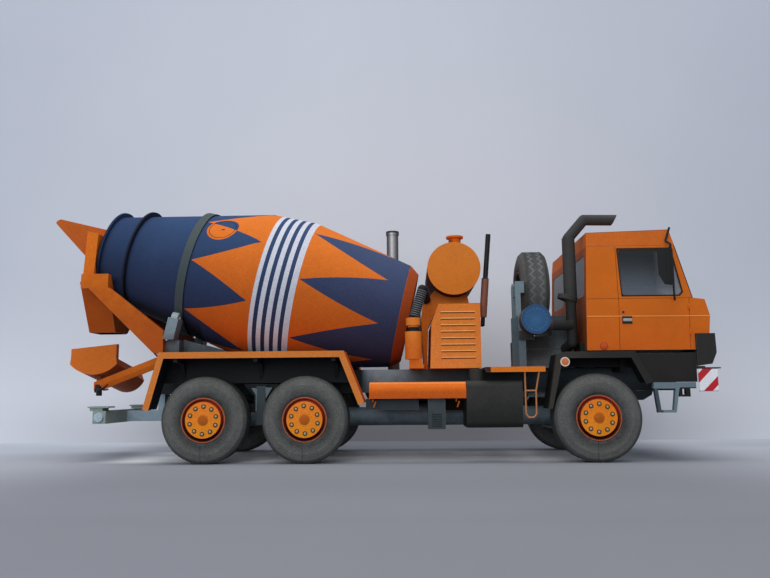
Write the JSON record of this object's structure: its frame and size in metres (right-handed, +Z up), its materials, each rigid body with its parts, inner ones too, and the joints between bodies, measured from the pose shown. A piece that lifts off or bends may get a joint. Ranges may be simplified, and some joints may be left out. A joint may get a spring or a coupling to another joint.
{
  "type": "model concrete mixer truck",
  "caption": "Card model of a cab-over concrete mixer truck whose drum turns, wheels roll and discharge chute swivels.",
  "frame": {"origin": "on the ground, under the middle of the model's box", "axes": "+X forward, +Y to the truck's left, +Z up"},
  "size_m": [0.2858, 0.0892, 0.1145],
  "materials": {
    "card_orange": "matt printed card",
    "card_dark": "matt printed card",
    "card_steel": "matt printed card",
    "card_white": "matt printed card",
    "clear_film": "clear",
    "card_tyre": "matt printed card",
    "card_rim": "matt printed card"
  },
  "bodies": {
    "chassis": {"ladder_frame": "card_dark", "backbone_tube": "card_dark", "half_axles": "card_dark", "steering_gear": "card_dark", "rear_springs": "card_dark", "rear_mudguards": "card_orange", "mudguard_struts": "card_dark", "front_mudguards": "card_dark", "tail_beam": "card_dark", "side_boxes": "card_orange", "fuel_tank": "card_dark", "air_tanks": "card_dark", "side_steps": "card_orange", "engine": "card_dark", "engine_cover": "card_orange", "exhausts": "card_steel", "oil_filter": "card_orange", "front_stand": "card_orange", "drum_gearbox": "card_dark", "water_tank": "card_orange", "spare_rack": "card_dark", "spare_tyre": "card_tyre", "spare_rim": "card_rim", "air_intake": "card_dark", "cab_side_right": "card_orange", "cab_side_left": "card_orange", "cab_front": "card_orange", "cab_rear": "card_orange", "cab_roof": "card_orange", "cab_floor": "card_dark", "cab_glass": "clear_film", "seats": "card_dark", "dashboard": "card_dark", "front_bumper": "card_dark", "front_skirts": "card_dark", "hazard_plates": "card_white", "mirrors": "card_dark", "drum_rollers": "card_steel", "roller_stand": "card_steel", "hopper": "card_orange", "hopper_arms": "card_orange", "discharge_box": "card_orange", "chute_bar": "card_orange"},
    "drum": {"drum_shell": "card_orange", "roller_track": "card_steel"},
    "chute": {"chute": "card_orange"},
    "wheel_front_right": {"tyre_front_right": "card_tyre", "rim_front_right": "card_rim"},
    "wheel_front_left": {"tyre_front_left": "card_tyre", "rim_front_left": "card_rim"},
    "wheel_middle_right": {"tyre_middle_right": "card_tyre", "rim_middle_right": "card_rim"},
    "wheel_middle_left": {"tyre_middle_left": "card_tyre", "rim_middle_left": "card_rim"},
    "wheel_rear_right": {"tyre_rear_right": "card_tyre", "rim_rear_right": "card_rim"},
    "wheel_rear_left": {"tyre_rear_left": "card_tyre", "rim_rear_left": "card_rim"}
  },
  "joints": [
    {"name": "wheel_front_right_spin", "type": "hinge", "parent": "chassis", "child": "wheel_front_right", "pos_m": [0.0933, -0.033, 0.0178], "axis": [0, 1, 0], "continuous": true},
    {"name": "wheel_front_left_spin", "type": "hinge", "parent": "chassis", "child": "wheel_front_left", "pos_m": [0.0933, 0.033, 0.0178], "axis": [0, 1, 0], "continuous": true},
    {"name": "wheel_middle_right_spin", "type": "hinge", "parent": "chassis", "child": "wheel_middle_right", "pos_m": [-0.0256, -0.033, 0.0178], "axis": [0, 1, 0], "continuous": true},
    {"name": "wheel_middle_left_spin", "type": "hinge", "parent": "chassis", "child": "wheel_middle_left", "pos_m": [-0.0256, 0.033, 0.0178], "axis": [0, 1, 0], "continuous": true},
    {"name": "wheel_rear_right_spin", "type": "hinge", "parent": "chassis", "child": "wheel_rear_right", "pos_m": [-0.0673, -0.033, 0.0178], "axis": [0, 1, 0], "continuous": true},
    {"name": "wheel_rear_left_spin", "type": "hinge", "parent": "chassis", "child": "wheel_rear_left", "pos_m": [-0.0673, 0.033, 0.0178], "axis": [0, 1, 0], "continuous": true},
    {"name": "drum_spin", "type": "hinge", "parent": "chassis", "child": "drum", "pos_m": [0.01768, 0, 0.06266], "axis": [0.9763, 0, -0.2164], "continuous": true},
    {"name": "chute_swivel", "type": "hinge", "parent": "chassis", "child": "chute", "pos_m": [-0.1273, 0, 0.033], "axis": [0, 0, 1], "range_deg": [-10, 170]}
  ]
}
